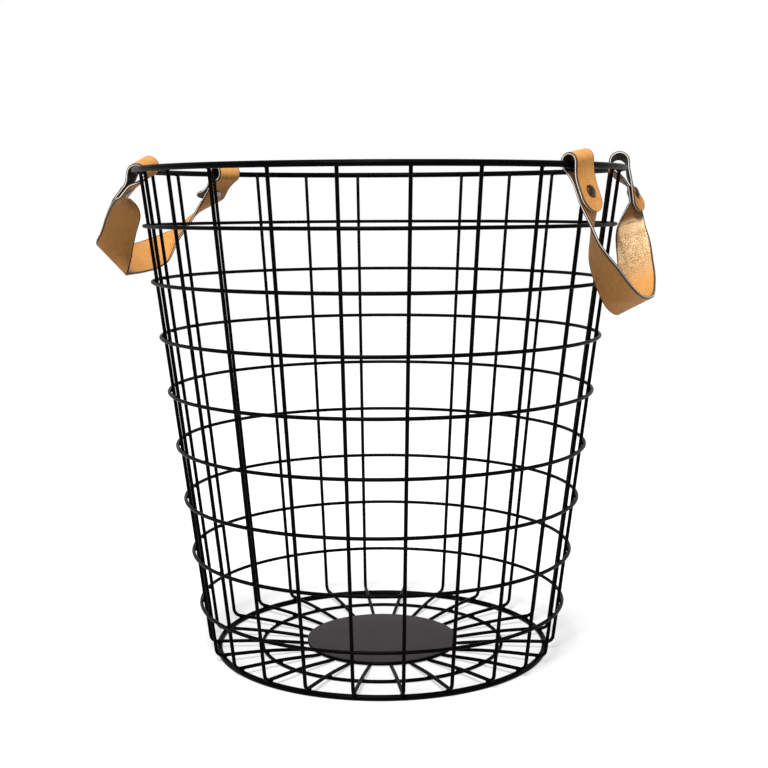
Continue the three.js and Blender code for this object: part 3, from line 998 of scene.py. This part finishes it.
def build_handle(side, azimuth, lean, travel, shapes, route):
    angle = math.radians(azimuth)
    loops = [Loop(end, math.radians(lean), shape) for end, shape in zip((-1, 1), shapes)]
    ends = [loop_stations(loop) for loop in loops]
    leg = leg_stations(loops, route)
    rows, places, facts = strap_rows(ends[0] + leg + ends[1][::-1])
    middle = len(ends[0]) + len(leg) // 2
    halves = {"a": slice(0, middle + 1), "b": slice(middle, None)}
    for loop, (label, part) in zip(loops, halves.items()):
        made = add_half(f"leather_{side}_{label}", rows[part], places[part], facts[part], angle)
        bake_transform(made)
        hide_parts(f"strap_{side}", f"strap_{side}_loop_{label}")
        add_rivet(side, label, loop, angle)


# Stage


def from_camera_frame(x, y, z):
    """A point given to the right of, behind and above the middle of the base, as the camera sees it."""
    c, s = math.cos(CAMERA_SPIN), math.sin(CAMERA_SPIN)
    return Vector((c * x - s * y, s * x + c * y, z))


def build_camera():
    right = from_camera_frame(1, 0, 0)
    level = from_camera_frame(0, 1, 0)
    forward = level * math.cos(CAMERA_PITCH) - Vector((0, 0, math.sin(CAMERA_PITCH)))
    up = level * math.sin(CAMERA_PITCH) + Vector((0, 0, math.cos(CAMERA_PITCH)))
    c, s = math.cos(CAMERA_ROLL), math.sin(CAMERA_ROLL)
    x_axis = right * c + up * s
    y_axis = up * c - right * s
    data = bpy.data.cameras.new("camera")
    data.sensor_width = SENSOR
    data.lens = FOCAL_PIXELS / IMAGE_PIXELS * SENSOR
    camera = bpy.data.objects.new("camera", data)
    bpy.context.scene.collection.objects.link(camera)
    turn = Matrix((x_axis, y_axis, -forward)).transposed().to_4x4()
    x, y, z = CAMERA_PLACE
    place = from_camera_frame(x, y, z + HEAVY - disc_top) * MM
    camera.matrix_world = Matrix.Translation(place) @ turn
    bpy.context.scene.camera = camera


def seen_share(tree):
    """1 for rays that show the background itself: straight, mirrored or through glass."""
    path = node(tree, "LightPath")
    share = calc(tree, "MAXIMUM", path.outputs["Is Camera Ray"], path.outputs["Is Glossy Ray"])
    return calc(tree, "MAXIMUM", share, path.outputs["Is Transmission Ray"])


def build_world():
    world = bpy.data.worlds.new("studio")
    bpy.context.scene.world = world
    world.use_nodes = True
    tree = world.node_tree
    ground = tree.nodes["Background"]
    put(tree, ground.inputs["Strength"], spread(tree, seen_share(tree), 0, 1, AMBIENT, 1, smooth=False))
    ground.inputs["Color"].default_value = WHITE


def build_floor():
    mesh = bpy.data.meshes.new("floor")
    reach = FLOOR_SIZE / 2
    low = -disc_top * MM
    corners = [(-reach, -reach, low), (reach, -reach, low), (reach, reach, low), (-reach, reach, low)]
    mesh.from_pydata(corners, [], [(0, 1, 2, 3)])
    floor = bpy.data.objects.new("floor", mesh)
    bpy.context.scene.collection.objects.link(floor)
    made, tree, shader = material("pale_floor")
    shader.inputs["Base Color"].default_value = FLOOR_GREY
    shader.inputs["Roughness"].default_value = FLOOR_ROUGH
    shader.inputs["Specular IOR Level"].default_value = 0.0
    shader.inputs["Emission Color"].default_value = WHITE
    away = node(tree, "VectorMath", {"operation": "LENGTH"})
    put(tree, away.inputs[0], object_place(tree))
    glow = spread(tree, away.outputs["Value"], GLOW_START, GLOW_END, NEAR_GLOW, FAR_GLOW)
    put(tree, shader.inputs["Emission Strength"], calc(tree, "MULTIPLY", seen_share(tree), glow))
    mesh.materials.append(made)


def build_lamp():
    lamp = bpy.data.lights.new("key", "AREA")
    lamp.shape = "DISK"
    lamp.size = LAMP_SIZE
    lamp.energy = LAMP_POWER
    made = bpy.data.objects.new("key", lamp)
    bpy.context.scene.collection.objects.link(made)
    place = from_camera_frame(*LAMP_PLACE)
    made.location = place
    made.rotation_euler = (Vector(LAMP_TARGET) - place).to_track_quat("-Z", "Y").to_euler()


build_camera()
build_wires()
build_disc()
for side, handle in HANDLES.items():
    build_handle(side, **handle)
build_world()
build_floor()
build_lamp()
bpy.context.scene.view_settings.view_transform = "Standard"
